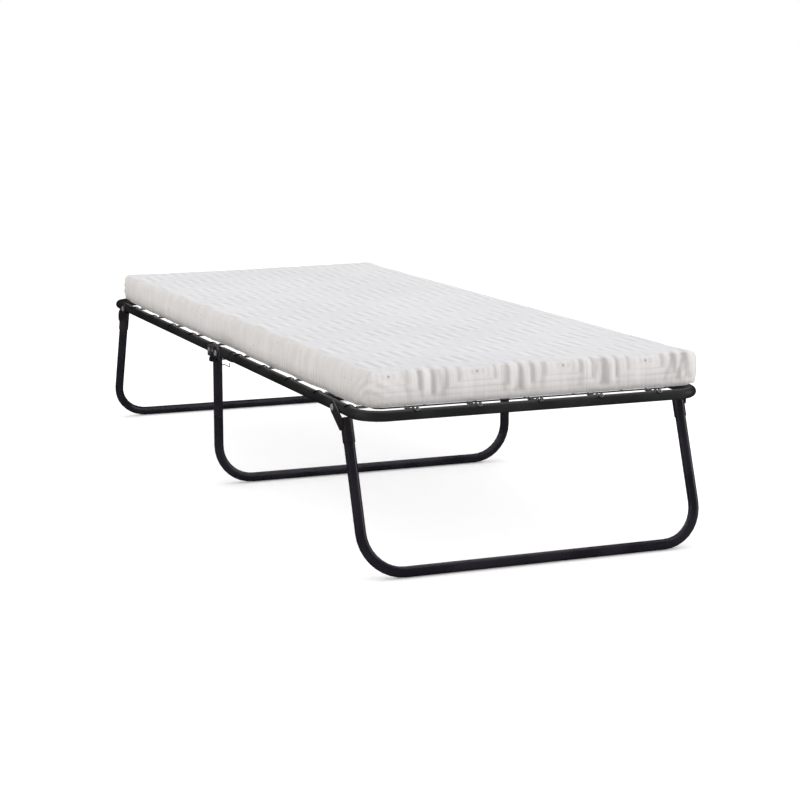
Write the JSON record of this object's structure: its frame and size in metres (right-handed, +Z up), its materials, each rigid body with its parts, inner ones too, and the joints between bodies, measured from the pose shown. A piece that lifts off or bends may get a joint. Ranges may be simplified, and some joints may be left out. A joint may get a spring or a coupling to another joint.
{
  "type": "folding cot",
  "caption": "Folding cot: hinged tubular frame, swing-down U legs, wire deck on hooks and a thin knit-covered foam mattress.",
  "frame": {"origin": "on the floor, under the middle of the cot's length and width", "axes": "+X along the cot's length to its foot end, +Y across it, +Z up"},
  "size_m": [1.9242, 0.7948, 0.407],
  "materials": {
    "rail_paint": "satin black powder coat with a faint green cast",
    "leg_paint": "satin black powder coat with a faint violet cast and soft highlights",
    "hinge_paint": "thin brown-black paint over pressed steel, worn at the edges",
    "rivet_steel": "bright zinc-plated rivet heads",
    "deck_wire": "dark grey coated spring wire",
    "catch_wire": "thin grey spring wire",
    "mattress_cover": "off-white knit with a small raised dash pattern over foam"
  },
  "bodies": {
    "head_half": {"rail_head": "rail_paint", "deck_head": "deck_wire", "hinge_plate_left": "hinge_paint", "hinge_plate_right": "hinge_paint", "plate_rivet_left_far": "rivet_steel", "plate_rivet_left_near": "rivet_steel", "plate_rivet_right_far": "rivet_steel", "plate_rivet_right_near": "rivet_steel", "hinge_pin_left": "rivet_steel", "hinge_pin_right": "rivet_steel", "leg_rivet_head_left": "rivet_steel", "leg_rivet_head_right": "rivet_steel", "mattress_head": "mattress_cover", "mattress_middle": "mattress_cover"},
    "foot_half": {"rail_foot": "rail_paint", "deck_foot": "deck_wire", "hinge_sleeve_left": "rail_paint", "hinge_sleeve_right": "rail_paint", "leg_rivet_foot_left": "rivet_steel", "leg_rivet_foot_right": "rivet_steel", "mattress_foot": "mattress_cover"},
    "head_leg": {"leg_head": "leg_paint", "leg_socket_head_left": "hinge_paint", "leg_socket_head_right": "hinge_paint"},
    "foot_leg": {"leg_foot": "leg_paint", "leg_socket_foot_left": "hinge_paint", "leg_socket_foot_right": "hinge_paint"},
    "middle_leg": {"leg_middle": "leg_paint", "leg_catch_left": "catch_wire", "leg_catch_right": "catch_wire"}
  },
  "joints": [
    {"name": "fold", "type": "hinge", "parent": "head_half", "child": "foot_half", "pos_m": [0.045, 0, 0.324], "axis": [0, -1, 0], "range_deg": [0, 120], "deforming": ["mattress_middle"]},
    {"name": "head_leg_swing", "type": "hinge", "parent": "head_half", "child": "head_leg", "pos_m": [-0.807, 0, 0.324], "axis": [0, -1, 0], "range_deg": [0, 109]},
    {"name": "foot_leg_swing", "type": "hinge", "parent": "foot_half", "child": "foot_leg", "pos_m": [0.807, 0, 0.324], "axis": [0, 1, 0], "range_deg": [0, 109]},
    {"name": "middle_leg_swing", "type": "hinge", "parent": "head_half", "child": "middle_leg", "pos_m": [0.045, 0, 0.324], "axis": [0, -1, 0], "range_deg": [0, 90]}
  ]
}
